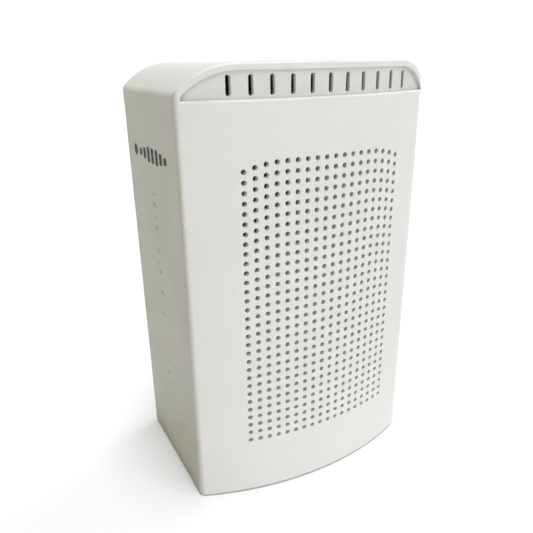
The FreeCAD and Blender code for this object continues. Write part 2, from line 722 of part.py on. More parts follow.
def fibre_ferrule():
    y = FIBRE_Y
    z = FIBRE_Z
    return join([
        taper(1.0, 2.0, (FERRULE_BACK, y, z), (39, y, z)),
        rod(2.4, (38.9, y, z), (43.8, y, z)),
        rod(1.245, (43.7, y, z), (56.5, y, z)),
    ])


def ferrule_sleeve():
    """The split ceramic tube that lines two ferrules up."""
    y = FIBRE_Y
    z = FIBRE_Z
    tube = rod(1.6, (49, y, z), (64.5, y, z)).cut(rod(1.26, (48, y, z), (66, y, z)))
    return tube.cut(box(48, 66, y - 3, y, z - 0.2, z + 0.2))


def fibre_adapter():
    y = FIBRE_Y
    z = FIBRE_Z
    body = soft_box(44, 68.6, y - 4.65, y + 4.65, z - 6.5, z + 6.5, 0.6, 0)
    flange = soft_box(62, 64, y - 6.0, y + 6.0, z - 9.5, z + 9.5, 0.8, 0)
    foot = box(46, 60, y + 4, BOARD_FRONT, z - 4, z + 4)
    shape = join([body, flange, foot])
    mouth = soft_box(55, 70, y - 3.75, y + 3.75, z - 4.55, z + 4.55, 0.3, 0)
    keyway = box(55, 70, y - 4.25, y, z - 1.2, z + 1.2)
    core = rod(2.4, (54, y, z), (65, y, z))
    shape = shape.cut([mouth, keyway]).fuse(core)
    return shape.cut(rod(1.65, (43, y, z), (66, y, z)))


def fibre_dust_plug():
    """The cap that closes the fibre socket; it pulls straight out."""
    y = FIBRE_Y
    z = FIBRE_Z
    plug = soft_box(57, 69.4, y - 3.6, y + 3.6, z - 4.35, z + 4.35, 0.5, 0)
    flange = soft_box(68.9, 69.9, y - 4.9, y + 4.9, z - 6.2, z + 6.2, 1.0, 0)
    grips = [soft_box(69.8, 71.1, y - 3.4, y + 3.4, z + d - 0.5, z + d + 0.5, 0.3, 0) for d in (-4, -2, 0, 2, 4)]
    shape = join([plug, flange] + grips)
    return shape.cut(rod(2.65, (56, y, z), (67, y, z)))


# ================================================================ sockets
def modular_jack(z, back, half_width, top, cavity_half, cavity_back, latch_half):
    """A modular socket on the main board, its latch notch away from the board."""
    body = soft_box(back, PORT_FACE, top, BOARD_FRONT, z - half_width, z + half_width, 0.4, 0)
    mouth = PORT_FACE + 1
    cavity = box(cavity_back, mouth, SOCKET_FLOOR - 6.8, SOCKET_FLOOR, z - cavity_half, z + cavity_half)
    latch = box(cavity_back, mouth, SOCKET_FLOOR - 8.3, SOCKET_FLOOR - 6, z - latch_half, z + latch_half)
    key = box(PORT_FACE - 4, mouth, SOCKET_FLOOR - 7.4, SOCKET_FLOOR - 6, z - latch_half - 1.1,
              z + latch_half + 1.1)
    return body.cut([cavity, latch, key])


def lan_jack(z):
    return modular_jack(z, 47.0, 8.0, 14.6, 5.9, 54.5, 3.1)


def phone_jack():
    return modular_jack(PHONE_Z, 50.0, 6.6, 15.2, 4.9, 56.0, 2.0)


def contact(z, back):
    """One sprung wire: it lies on the socket's floor at the mouth and rises towards the back."""
    floor = SOCKET_FLOOR
    wire = Part.makePolygon([
        Vector(66.4, floor, z - 0.2),
        Vector(66.0, floor - 0.45, z - 0.2),
        Vector(back, floor - 2.0, z - 0.2),
        Vector(back, floor - 1.65, z - 0.2),
        Vector(65.2, floor, z - 0.2),
        Vector(66.4, floor, z - 0.2),
    ])
    return Part.Face(wire).extrude(Vector(0, 0, 0.4))


def lan_contacts():
    wires = []
    for z in LAN_Z:
        for i in range(8):
            wires.append(contact(z + (i - 3.5) * 1.02, 57.5))
    return group(wires)


def phone_contacts():
    return group([contact(PHONE_Z + (i - 1.5) * 1.02, 58.5) for i in range(4)])


def usb_socket():
    y0 = 21.2
    y1 = 26.9
    sheet = 0.3
    shell = soft_box(54, PORT_FACE, y0, y1, USB_Z - 6.55, USB_Z + 6.55, 0.5, 0)
    hollow = box(53, PORT_FACE + 1, y0 + sheet, y1 - sheet, USB_Z - 6.25, USB_Z + 6.25)
    shell = shell.cut(hollow)
    legs = [box(x, x + 2, y1 - 0.2, BOARD_FRONT, z - 0.15, z + 0.15)
            for x in (56, 61) for z in (USB_Z - 6.2, USB_Z + 6.2)]
    return join([shell] + legs)


def usb_tongue():
    rear = box(54.1, 57, 21.55, 26.55, USB_Z - 6.2, USB_Z + 6.2)
    tongue = soft_box(56.5, 66.6, 24.4, 26.2, USB_Z - 5.55, USB_Z + 5.55, 0.3, 0)
    return join([rear, tongue])


def dc_jack():
    behind_panel = PANEL_FACE - PANEL_THICKNESS - 0.25
    body = soft_box(54, behind_panel, 17, BOARD_FRONT, DC_Z - 4.7, DC_Z + 4.7, 0.5, 0)
    collar = rod(4.0, (behind_panel - 0.5, PORT_Y, DC_Z), (PANEL_FACE, PORT_Y, DC_Z))
    bore = rod(3.15, (58, PORT_Y, DC_Z), (PANEL_FACE + 1, PORT_Y, DC_Z))
    pin_hole = rod(1.05, (53, PORT_Y, DC_Z), (59, PORT_Y, DC_Z))
    return body.fuse(collar).removeSplitter().cut([bore, pin_hole])


def dc_pin():
    pin = rod(1.0, (54.2, PORT_Y, DC_Z), (67.2, PORT_Y, DC_Z))
    tip = [edge for edge in pin.Edges if edge.BoundBox.XMin > 67.1]
    return pin.makeFillet(0.5, tip)


# ================================================================ buttons and switches
def switch_block(back, front, half, z, bore_radius, bore_back):
    """A switch body on the main board, bored towards the panel for its plunger."""
    body = soft_box(back, front, PORT_Y - half, BOARD_FRONT, z - half, z + half, 0.3, 0)
    return body.cut(rod(bore_radius, (bore_back, PORT_Y, z), (front + 1, PORT_Y, z)))


def power_switch():
    return switch_block(48, 59, 4.25, POWER_Z, 1.65, 54)


def power_button():
    cap = rod(4.4, (64, PORT_Y, POWER_Z), (70.8, PORT_Y, POWER_Z))
    lip = [edge for edge in cap.Edges if edge.BoundBox.XMin > 70.7]
    cap = cap.makeFillet(0.6, lip)
    flange = rod(5.3, (64, PORT_Y, POWER_Z), (65.6, PORT_Y, POWER_Z))
    stem = rod(1.5, (57, PORT_Y, POWER_Z), (64.5, PORT_Y, POWER_Z))
    return join([cap, flange, stem])


def wifi_switch():
    return switch_block(55, 61.2, 3.1, WIFI_Z, 1.3, 58)


def wifi_plunger():
    return rod(1.2, (59.2, PORT_Y, WIFI_Z), (63.2, PORT_Y, WIFI_Z))


def wifi_button():
    cap = rod(3.2, (63.2, PORT_Y, WIFI_Z), (69.9, PORT_Y, WIFI_Z))
    lip = [edge for edge in cap.Edges if edge.BoundBox.XMin > 69.8]
    cap = cap.makeFillet(0.5, lip)
    return join([cap, rod(4.1, (64.4, PORT_Y, WIFI_Z), (66.2, PORT_Y, WIFI_Z))])


def reset_switch():
    return switch_block(55, 61.2, 3.1, RESET_Z, 1.3, 58)


def reset_button():
    """The hidden plunger behind the pin hole."""
    stem = rod(1.2, (59.2, PORT_Y, RESET_Z), (63, PORT_Y, RESET_Z))
    head = rod(1.9, (62.6, PORT_Y, RESET_Z), (66.2, PORT_Y, RESET_Z))
    return join([stem, head])


def wps_button():
    cap = rod(WPS_RADIUS, (-67.4, MARK_Y, WPS_Z), (-HALF, MARK_Y, WPS_Z))
    lip = [edge for edge in cap.Edges if edge.BoundBox.XMax < -HALF + 0.01]
    cap = cap.makeFillet(0.3, lip)
    flange = rod(5.9, (-67.2, MARK_Y, WPS_Z), (-68.5, MARK_Y, WPS_Z))
    stem = rod(1.6, (-65.9, MARK_Y, WPS_Z), (-68, MARK_Y, WPS_Z))
    return join([cap, flange, stem])


def wps_switch():
    body = soft_box(-64.7, LED_BOARD_X, MARK_Y - 3, MARK_Y + 3, WPS_Z - 3, WPS_Z + 3, 0.3, 0)
    return body.cut(rod(1.85, (-62.6, MARK_Y, WPS_Z), (-66, MARK_Y, WPS_Z)))


def wps_plunger():
    return rod(1.75, (-63.6, MARK_Y, WPS_Z), (-65.9, MARK_Y, WPS_Z))


# ================================================================ indicator board
def led_board():
    far = LED_BOARD_X + LED_BOARD_THICKNESS
    board = soft_box(LED_BOARD_X, far, MARK_Y - 8, MARK_Y + 8, 45, 175, 1.5, 0)
    return board.cut([rod(1.2, (LED_BOARD_X - 1, MARK_Y, z), (far + 1, MARK_Y, z)) for z in LED_BOARD_SCREWS])


def indicator_leds():
    x = LED_BOARD_X
    return group([soft_box(x - 0.8, x, MARK_Y - 0.8, MARK_Y + 0.8, z - 1.2, z + 1.2, 0.15, 0)
                  for z in led_heights()])


def light_pipes():
    """One clear moulding: a runner behind the wall and a rod through it for each indicator."""
    heights = led_heights()
    runner = soft_box(-68.3, -66.6, MARK_Y - 1.5, MARK_Y + 1.5, min(heights) - 1.0, max(heights) + 1.5, 0.4, 0)
    rods = []
    for z in heights:
        pipe = rod(PIPE_RADIUS, (LED_BOARD_X - 1.1, MARK_Y, z), (-HALF, MARK_Y, z))
        rods.append(pipe)
    return join([runner] + rods)


def ribbon_connectors():
    x = LED_BOARD_X + LED_BOARD_THICKNESS
    first = soft_box(x, x + 3, 5.2, 8.8, 104, 116, 0.3, 0)
    first = first.cut(box(x + 1.4, x + 4, 6.75, 7.25, 105.9, 114.1))
    second = soft_box(-49.8, -46.2, BOARD_FRONT - 3, BOARD_FRONT, 104, 116, 0.3, 1)
    second = second.cut(box(-48.25, -47.75, BOARD_FRONT - 4, BOARD_FRONT - 1.4, 105.9, 114.1))
    return group([first, second])


def ribbon_cable():
    """A flat cable, 8 wide, round one bend from the indicator board to the main board."""
    start = LED_BOARD_X + LED_BOARD_THICKNESS + 1.6
    bend_x = -54.0
    bend = 6.0
    half = 0.15
    z0 = 106.0
    width = 8.0
    centre = Vector(bend_x, MARK_Y + bend, z0)
    first = box(start, bend_x, MARK_Y - half, MARK_Y + half, z0, z0 + width)
    ring = Part.makeCylinder(bend + half, width, centre)
    ring = ring.cut(Part.makeCylinder(bend - half, width, centre))
    ring = ring.common(box(bend_x, bend_x + 10, MARK_Y - 1, MARK_Y + bend, z0, z0 + width))
    second = box(bend_x + bend - half, bend_x + bend + half, MARK_Y + bend, BOARD_FRONT - 1.6, z0, z0 + width)
    return join([first, ring, second])


# ================================================================ antennas
def antennas():
    return {
        "antenna_top_left": box(-50, -8, 6, 6.8, 212.5, 222.5),
        "antenna_top_right": box(6, 48, 6, 6.8, 212.5, 222.5),
        "antenna_left": box(-66.6, -65.8, 20, 30, 118, 160),
        "antenna_right": box(65.8, 66.6, -22, -12, 128, 170),
    }


def antenna_leads():
    return group([cord(route, COAX_RADIUS, "antenna lead") for route in COAX_ROUTES])


def antenna_plugs():
    plugs = []
    for x, z in COAX_PLUGS:
        plugs.append(rod(1.6, (x, BOARD_FRONT - 1.6, z), (x, BOARD_FRONT, z)))
    return group(plugs)


# ================================================================ assembly
def parts():
    nodes = {
        "main_housing": main_housing(),
        "rear_cover": rear_cover(),
        "base_plate": base_plate(),
        "rubber_feet": rubber_feet(),
        "port_panel": port_panel(),
        "cover_screws": cover_screws(),
        "base_screws": base_screws(),
        "board_screws": board_screws(),
        "led_board_screws": led_board_screws(),
        "main_board": main_board(),
        "main_processor": main_processor(),
        "thermal_pad": thermal_pad(),
        "heat_sink": heat_sink(),
        "heat_sink_pins": heat_sink_pins(),
        "memory_chips": memory_chips(),
        "radio_chips": radio_chips(),
        "lan_transformers": lan_transformers(),
        "power_coils": power_coils(),
        "capacitors": capacitors(),
        "optical_module": optical_module(),
        "fibre_pigtail": fibre_pigtail(),
        "fibre_ferrule": fibre_ferrule(),
        "ferrule_sleeve": ferrule_sleeve(),
        "fibre_adapter": fibre_adapter(),
        "fibre_dust_plug": fibre_dust_plug(),
        "lan_contacts": lan_contacts(),
        "phone_jack": phone_jack(),
        "phone_contacts": phone_contacts(),
        "usb_socket": usb_socket(),
        "usb_tongue": usb_tongue(),
        "dc_jack": dc_jack(),
        "dc_pin": dc_pin(),
        "power_switch": power_switch(),
        "power_button": power_button(),
        "wifi_switch": wifi_switch(),
        "wifi_plunger": wifi_plunger(),
        "wifi_button": wifi_button(),
        "reset_switch": reset_switch(),
        "reset_button": reset_button(),
        "wps_button": wps_button(),
        "wps_switch": wps_switch(),
        "wps_plunger": wps_plunger(),
        "led_board": led_board(),
        "indicator_leds": indicator_leds(),
        "light_pipes": light_pipes(),
        "ribbon_connectors": ribbon_connectors(),
        "ribbon_cable": ribbon_cable(),
        "antenna_leads": antenna_leads(),
        "antenna_plugs": antenna_plugs(),
    }
    for number, z in enumerate(LAN_Z, 1):
        nodes[f"lan_jack_{number}"] = lan_jack(z)
    for name in SHIELDS:
        nodes[name] = radio_shield(name)
    nodes.update(antennas())
    return nodes


os.makedirs("parts", exist_ok=True)
for node, shape in parts().items():
    solids = len(shape.Solids)
    print(node, "solids", solids, "valid", shape.isValid(), "volume", round(shape.Volume, 2))
    shape.exportStep(f"parts/{node}.step")
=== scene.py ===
import json
import math

import bpy
from mathutils import Matrix, Vector


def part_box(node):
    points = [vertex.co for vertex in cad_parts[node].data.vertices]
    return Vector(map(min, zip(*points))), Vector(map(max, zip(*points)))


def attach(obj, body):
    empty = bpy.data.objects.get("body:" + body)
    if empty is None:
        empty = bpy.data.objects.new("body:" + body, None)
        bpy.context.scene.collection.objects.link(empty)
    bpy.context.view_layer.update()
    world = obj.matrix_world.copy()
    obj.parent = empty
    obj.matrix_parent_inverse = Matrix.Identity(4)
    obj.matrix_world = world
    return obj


# Looks of an optical network terminal: a free-standing tower gateway.
# Everything is in metres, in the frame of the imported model: +Z up, the perforated front towards -Y,
# the indicators on -X and the ports on +X. Flat artwork is drawn in millimetres.

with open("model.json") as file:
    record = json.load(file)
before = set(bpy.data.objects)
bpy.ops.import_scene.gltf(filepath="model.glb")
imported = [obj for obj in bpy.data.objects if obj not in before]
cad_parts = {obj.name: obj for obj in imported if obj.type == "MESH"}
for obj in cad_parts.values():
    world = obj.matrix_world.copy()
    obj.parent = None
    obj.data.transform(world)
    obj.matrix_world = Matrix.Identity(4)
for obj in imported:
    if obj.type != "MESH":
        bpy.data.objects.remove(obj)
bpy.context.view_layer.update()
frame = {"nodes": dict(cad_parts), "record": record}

MM = 0.001

# ---------------------------------------------------------------- camera
CAMERA_PLACE = Vector((-0.149, -0.2562, 0.2279))
CAMERA_TURN = math.radians(28.425)  # to the right of +Y
CAMERA_DIP = math.radians(21.186)
CAMERA_ROLL = math.radians(-0.805)
LENS = 36.29
SENSOR = 36.0

# ---------------------------------------------------------------- studio
FLOOR_RADIUS = 3.2
WALL_HEIGHT = 1.8
WALL_SIDES = 96
FLOOR_COLOUR = (0.7, 0.7, 0.7)
STUDIO_ROUGHNESS = 0.9
WALL_GLOW = 1.0
WALL_TOP_GLOW = 0.4
BRIGHT_UP_TO = 0.6  # height on the wall where the glow starts to fade
WORLD_COLOUR = (1.0, 1.0, 1.0)
WORLD_STRENGTH = 0.05
# Turn, height, strength, spread and colour of each light. The negative one is negative fill: like a black
# card beside the object, it takes bounced light away from the indicator side.
LIGHTS = (
    (10, 84, 3.0, 24, (1, 1, 1)),
    (-12, 38, 1.1, 40, (1, 1, 1)),
    (105, 28, 1.5, 40, (1, 1, 1)),
    (-100, -12, -1.35, 30, (0.96, 0.98, 1.16)),
)

# ---------------------------------------------------------------- prints on the indicator side
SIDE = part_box("main_housing")[0].x
BUTTON_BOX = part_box("wps_button")
MARK_Y = (BUTTON_BOX[0].y + BUTTON_BOX[1].y) / 2
BUTTON_Z = (BUTTON_BOX[0].z + BUTTON_BOX[1].z) / 2
RUNNER_ABOVE = 0.0015  # from the first light pipe up to the top of the runner that holds them
LED_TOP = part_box("light_pipes")[1].z - RUNNER_ABOVE
LED_PITCH = 0.0124
ICON_DROP = 0.0054  # from an indicator down to the middle of its pictogram
MARK_CENTRE_Y = 0.0058
MARK_CENTRE_Z = 0.1838
EMBLEM_DISC_AT = -25.4
EMBLEM_DISC_RADIUS = 3.0
EMBLEM_BARS_FROM = -18.6
EMBLEM_BAR_PITCH = 6.3
EMBLEM_BAR_WIDTH = 4.2
EMBLEM_BAR_HALVES = (1.8, 2.8, 3.8, 3.8, 3.8, 2.8, 1.8)  # half heights of the bars
EMBLEM_CORNER = 0.9
ICON_EDGE = 1.9  # the rules beside a pictogram start here
RULE_REACHES = (2.9, 3.2, 2.9, 3.2, 4.0, 4.2)  # and end here, one for each indicator
BUTTON_RULE_REACH = 2.9
RULE_WIDTH = 0.3
STROKE = 0.5  # line width of the pictograms, in millimetres
INK = 0.03 * MM
INK_GREY = (0.16, 0.16, 0.15)
INK_BLACK = (0.008, 0.008, 0.009)

# ---------------------------------------------------------------- prints on the port side and the back
PANEL_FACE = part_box("port_panel")[1].x
PANEL_PRINT_Y = 0.0105
DIGIT_HEIGHT = 3.2
DIGIT_STROKE = 0.45
LABEL_WIDTH = 61.0
LABEL_HEIGHT = 29.0
LABEL_Z = 0.034
LABEL_DEPTH = 0.4 * MM  # the label lies this far below the face of the rear cover
LABEL_CORNER = 1.2
LABEL_THICKNESS = 0.08 * MM
LABEL_MARGIN = 2.5  # from the edge of the label to its frame
LABEL_PAPER = (0.74, 0.74, 0.73)


# ================================================================ node materials
class Finish:
    """A Principled material whose node tree is built up step by step."""

    def __init__(self, name, colour, roughness, **sockets):
        self.material = bpy.data.materials.new(name)
        self.material.use_nodes = True
        self.tree = self.material.node_tree
        self.shader = self.tree.nodes["Principled BSDF"]
        self.place = self.tree.nodes.new("ShaderNodeTexCoord").outputs["Object"]
        self.set(Roughness=roughness)
        self.shader.inputs["Base Color"].default_value = (*colour, 1)
        for socket, value in sockets.items():
            self.shader.inputs[socket.replace("_", " ")].default_value = value

    def set(self, **sockets):
        for socket, value in sockets.items():
            self.put(self.shader.inputs[socket.replace("_", " ")], value)

    def put(self, socket, value):
        """Feeds a socket with another socket, a number or a colour."""
        if isinstance(value, bpy.types.NodeSocket):
            self.tree.links.new(value, socket)
        elif isinstance(value, (tuple, list)) and len(value) == 3 and len(socket.default_value) == 4:
            socket.default_value = (*value, 1)
        else:
            socket.default_value = value

    def node(self, kind, **inputs):
        made = self.tree.nodes.new(kind)
        for name, value in inputs.items():
            self.put(made.inputs[name.replace("_", " ")], value)
        return made

    def stretched(self, scale):
        """The object's own coordinates, scaled by axis."""
        node = self.node("ShaderNodeMapping", Vector=self.place)
        node.inputs["Scale"].default_value = scale
        return node.outputs["Vector"]

    def noise(self, scale, detail=2.0, roughness=0.5, vector=None):
        """Cloudy noise, which keeps mostly between 0.3 and 0.7."""
        node = self.node("ShaderNodeTexNoise", Vector=vector or self.place,
                         Scale=scale, Detail=detail, Roughness=roughness)
        return node.outputs["Fac"]

    def cells(self, scale, distance="EUCLIDEAN", vector=None):
        """The distance to the middle of the nearest cell, in parts of a cell."""
        node = self.node("ShaderNodeTexVoronoi", Vector=vector or self.place, Scale=scale)
        node.distance = distance
        return node.outputs["Distance"]

    def remap(self, value, low, high, start=0.0, end=1.0):
        """Takes low to start and high to end, and holds what lies outside at those two."""
        node = self.node("ShaderNodeMapRange", Value=value)
        for name, number in zip(("From Min", "From Max", "To Min", "To Max"), (low, high, start, end)):
            node.inputs[name].default_value = number
        return node.outputs["Result"]

    def maths(self, operation, first, second):
        node = self.tree.nodes.new("ShaderNodeMath")
        node.operation = operation
        self.put(node.inputs[0], first)
        self.put(node.inputs[1], second)
        return node.outputs["Value"]

    def near(self, value, target, tolerance):
        """1 where the value is close to the target and 0 elsewhere."""
        result = self.maths("COMPARE", value, target)
        result.node.inputs[2].default_value = tolerance
        return result

    def mixed(self, factor, first, second):
        """A colour between two colours."""
        node = self.tree.nodes.new("ShaderNodeMix")
        node.data_type = "RGBA"
        self.put(node.inputs["Factor"], factor)
        first_socket, second_socket = [s for s in node.inputs if s.type == "RGBA"]
        self.put(first_socket, first)
        self.put(second_socket, second)
        return next(s for s in node.outputs if s.type == "RGBA")

    def bump(self, height, distance, strength=1.0, under=None):
        node = self.node("ShaderNodeBump", Height=height, Distance=distance, Strength=strength)
        if under is not None:
            self.put(node.inputs["Normal"], under)
        return node.outputs["Normal"]

    def soft_edges(self, radius):
        """A normal that rounds sharp edges by the radius."""
        node = self.node("ShaderNodeBevel", Radius=radius)
        node.samples = 4
        return node.outputs["Normal"]

    def edge_mask(self, soft):
        """1 on worn edges and 0 on open faces, from a normal made by soft_edges."""
        flat = self.tree.nodes.new("ShaderNodeNewGeometry").outputs["Normal"]
        dot = self.tree.nodes.new("ShaderNodeVectorMath")
        dot.operation = "DOT_PRODUCT"
        self.put(dot.inputs[0], soft)
        self.put(dot.inputs[1], flat)
        return self.remap(dot.outputs["Value"], EDGE_STARTS, EDGE_FULL)


# Cosines of the turn between the rounded and the flat normal, where wear starts and where it is full.
EDGE_STARTS = 0.995
EDGE_FULL = 0.86
# Noise scales are in features per metre: 2600 is a grain of 0.4 mm, 16 a tone that drifts over 60 mm.
GRAIN_SCALE = 2600
SPECK_SCALE = 900
DRIFT_SCALE = 16
SINK_SCALE = 30
TRACK_WIDTH = 0.03  # half width of a copper track, in parts of a cell
PAD_RADIUS = 0.12  # in parts of a cell
THROUGH_BOARD = (1, 0.2, 1)  # the main board is thin along Y, so its tracks hardly change that way
PAD_COLOUR = (0.62, 0.55, 0.32)


def scaled(colour, by):
    return tuple(min(1.0, c * by) for c in colour)


def moulded(name, colour, roughness=0.42, grain=0.02, wear=0.25, rounding=0.25):
    """Satin moulded plastic: a fine spark-eroded grain, faint sink waves, tone drift and polished edges."""
    f = Finish(name, colour, roughness)
    soft = f.soft_edges(rounding * MM)
    edge = f.edge_mask(soft)
    drift = f.noise(DRIFT_SCALE, 3)
    speck = f.noise(SPECK_SCALE, 2)
    tone = f.mixed(f.remap(drift, 0.35, 0.65), scaled(colour, 0.975), scaled(colour, 1.012))
    tone = f.mixed(f.remap(speck, 0.35, 0.75, 0, 0.25), tone, scaled(colour, 0.93))
    scuffed = f.maths("MULTIPLY", edge, f.remap(f.noise(130, 3), 0.4, 0.65, 0.15, wear))
    tone = f.mixed(scuffed, tone, scaled(colour, 0.86))
    f.set(Base_Color=tone)
    rough = f.remap(f.noise(60, 4), 0.3, 0.7, roughness - 0.05, roughness + 0.06)
    f.set(Roughness=f.maths("SUBTRACT", rough, f.maths("MULTIPLY", edge, 0.12)))
    waves = f.bump(f.noise(SINK_SCALE, 1), 0.3 * MM, 0.05, soft)
    f.set(Normal=f.bump(f.noise(GRAIN_SCALE, 2), grain * MM, 0.5, waves))
    return f.material


def glossy(name, colour, roughness, rounding=0.15):
    """Smooth moulded plastic with a faint flow pattern and fine scratches."""
    f = Finish(name, colour, roughness)
    soft = f.soft_edges(rounding * MM)
    drift = f.remap(f.noise(90, 3), 0.35, 0.65)
    f.set(Base_Color=f.mixed(drift, scaled(colour, 0.9), scaled(colour, 1.08)))
    scratches = f.noise(700, 4, 0.7, f.stretched((1, 0.08, 1)))
    f.set(Roughness=f.remap(scratches, 0.4, 0.75, roughness, roughness + 0.16))
    f.set(Normal=f.bump(f.noise(240, 2), 0.02 * MM, 0.3, soft))
    return f.material


def metal(name, colour, roughness, lines, rounding=0.12):
    """Plated or extruded metal, drawn along one axis, with handling marks."""
    f = Finish(name, colour, roughness, Metallic=1.0)
    soft = f.soft_edges(rounding * MM)
    streaks = f.noise(2200, 3, 0.6, f.stretched(lines))
    stains = f.noise(120, 4)
    tone = f.mixed(f.remap(streaks, 0.3, 0.7), scaled(colour, 0.86), scaled(colour, 1.06))
    tone = f.mixed(f.remap(stains, 0.55, 0.8, 0, 0.35), tone, scaled(colour, 0.68))
    f.set(Base_Color=tone)
    f.set(Roughness=f.remap(stains, 0.3, 0.75, roughness - 0.06, roughness + 0.14))
    f.set(Normal=f.bump(streaks, 0.01 * MM, 0.4, soft))
    return f.material


def soft_rubber(name, colour, roughness=0.75):
    """Matt rubber with dust in its pores."""
    f = Finish(name, colour, roughness)
    dust = f.remap(f.noise(300, 4, 0.7), 0.5, 0.75, 0, 0.4)
    f.set(Base_Color=f.mixed(dust, colour, scaled(colour, 1.9)))
    f.set(Roughness=f.remap(f.noise(500, 3), 0.3, 0.7, roughness - 0.1, roughness + 0.1))
    f.set(Normal=f.bump(f.cells(1500), 0.03 * MM, 0.5, f.soft_edges(0.3 * MM)))
    return f.material


def solder_mask(name, colour):
    """Green lacquer over copper tracks: the tracks stand up a little and show lighter."""
    f = Finish(name, colour, 0.28, Coat_Weight=0.3)
    flattened = f.stretched(THROUGH_BOARD)
    square = f.near(f.cells(230, "CHEBYCHEV", flattened), 0.42, TRACK_WIDTH)
    slanting = f.near(f.cells(410, "MANHATTAN", flattened), 0.55, TRACK_WIDTH)
    tracks = f.maths("MAXIMUM", square, slanting)
    pads = f.maths("LESS_THAN", f.cells(620, "EUCLIDEAN", flattened), PAD_RADIUS)
    tone = f.mixed(f.remap(f.noise(40, 3), 0.3, 0.7), scaled(colour, 0.85), scaled(colour, 1.15))
    tone = f.mixed(f.maths("MULTIPLY", tracks, 0.55), tone, scaled(colour, 2.3))
    f.set(Base_Color=f.mixed(pads, tone, PAD_COLOUR))
    f.set(Roughness=f.remap(f.noise(220, 3), 0.3, 0.7, 0.22, 0.36))
    f.set(Normal=f.bump(f.maths("ADD", tracks, pads), 0.035 * MM, 0.7))
    return f.material


def ferrite(name, colour):
    """Sintered ferrite: dull grey with small pits."""
    f = Finish(name, colour, 0.6)
    pits = f.cells(900)
    f.set(Base_Color=f.mixed(f.remap(pits, 0.1, 0.7), scaled(colour, 0.6), scaled(colour, 1.3)))
    f.set(Roughness=f.remap(f.noise(400, 3), 0.3, 0.7, 0.5, 0.7))
    f.set(Normal=f.bump(pits, 0.03 * MM, 0.6, f.soft_edges(0.2 * MM)))
    return f.material


def clear(name, colour, roughness=0.25):
    """Clear polycarbonate with a moulding haze."""
    f = Finish(name, colour, roughness, Transmission_Weight=0.55, IOR=1.58)
    haze = f.remap(f.noise(350, 3), 0.3, 0.7)
    f.set(Base_Color=f.mixed(haze, scaled(colour, 0.9), scaled(colour, 1.05)))
    f.set(Roughness=f.remap(haze, 0, 1, roughness - 0.06, roughness + 0.08))
    f.set(Normal=f.bump(f.noise(500, 2), 0.01 * MM, 0.3))
    return f.material


def printed(name, colour):
    """Pad-printed ink: slightly uneven cover and a dry, finely pitted surface."""
    f = Finish(name, colour, 0.55)
    cover = f.noise(1400, 3)
    f.set(Base_Color=f.mixed(f.remap(cover, 0.3, 0.7), scaled(colour, 0.88), scaled(colour, 1.15)))
    f.set(Roughness=f.remap(f.noise(800, 2), 0.3, 0.7, 0.48, 0.64))
    f.set(Normal=f.bump(cover, 0.01 * MM, 0.4))
    return f.material


def record_colours():
    return {row["slot"]: tuple(row["base_color"][:3]) for row in frame["record"]["materials"]}


# Colours that differ from the record's, which suit the plain CAD model.
OWN_COLOURS = {
    "shell_white": (0.65, 0.645, 0.62),
    "cover_white": (0.64, 0.635, 0.61),
    "panel_white": (0.645, 0.64, 0.62),
    "button_white": (0.645, 0.64, 0.615),
    "clear_pipe": (0.55, 0.56, 0.55),
}
# Noise scales by axis for the streaks in metal: a small one draws them out along its axis.
ALONG_X = (0.03, 1, 1)
ALONG_X_SHORT = (0.05, 1, 1)
ALONG_Z = (1, 1, 0.03)
UNDIRECTED = (1, 1, 1)
# slot, the kind of finish and what sets it apart from others of its kind
FINISHES = (
    ("shell_white", moulded, {}),
    ("cover_white", moulded, {"roughness": 0.5, "grain": 0.04}),
    ("panel_white", moulded, {"roughness": 0.46, "grain": 0.03}),
    ("button_white", moulded, {"roughness": 0.36, "grain": 0.01}),
    ("button_grey", moulded, {"roughness": 0.45, "grain": 0.02, "wear": 0.6}),
    ("rubber_grey", soft_rubber, {}),
    ("screw_steel", metal, {"roughness": 0.32, "lines": UNDIRECTED}),
    ("board_green", solder_mask, {}),
    ("strip_dark", solder_mask, {}),
    ("chip_black", moulded, {"roughness": 0.6, "grain": 0.03, "wear": 0.3, "rounding": 0.1}),
    ("chip_lid", metal, {"roughness": 0.38, "lines": ALONG_X_SHORT}),
    ("pad_blue", soft_rubber, {"roughness": 0.6}),
    ("sink_alloy", metal, {"roughness": 0.36, "lines": ALONG_Z}),
    ("shield_tin", metal, {"roughness": 0.28, "lines": ALONG_X}),
    ("module_metal", metal, {"roughness": 0.3, "lines": ALONG_X}),
    ("contact_gold", metal, {"roughness": 0.2, "lines": ALONG_X_SHORT, "rounding": 0.03}),
    ("socket_steel", metal, {"roughness": 0.22, "lines": ALONG_X}),
    ("capacitor_sleeve", glossy, {"roughness": 0.3}),
    ("coil_grey", ferrite, {}),
    ("jack_yellow", glossy, {"roughness": 0.34}),
    ("jack_grey", glossy, {"roughness": 0.38}),
    ("jack_black", glossy, {"roughness": 0.36}),
    ("fibre_green", glossy, {"roughness": 0.32}),
    ("plug_white", glossy, {"roughness": 0.4}),
    ("sleeve_ceramic", glossy, {"roughness": 0.12, "rounding": 0.05}),
    ("fibre_jacket", glossy, {"roughness": 0.35, "rounding": 0.05}),
    ("clear_pipe", clear, {}),
    ("led_body", glossy, {"roughness": 0.2}),
    ("ribbon_white", glossy, {"roughness": 0.35, "rounding": 0.05}),
    ("connector_ivory", moulded, {"roughness": 0.5, "grain": 0.02}),
    ("coax_grey", soft_rubber, {"roughness": 0.55}),
)


def make_finishes():
    """One material for each slot of the record."""
    tint = record_colours() | OWN_COLOURS
    return {slot: kind(slot, tint[slot], **features) for slot, kind, features in FINISHES}


def dress_nodes(finishes):
    """Gives every CAD node the finish of its slot."""
    slots = {row["node"]: row["material_slot"] for row in frame["record"]["subparts"]}
    for name, piece in frame["nodes"].items():
        piece.data.materials.clear()
        piece.data.materials.append(finishes[slots[name]])


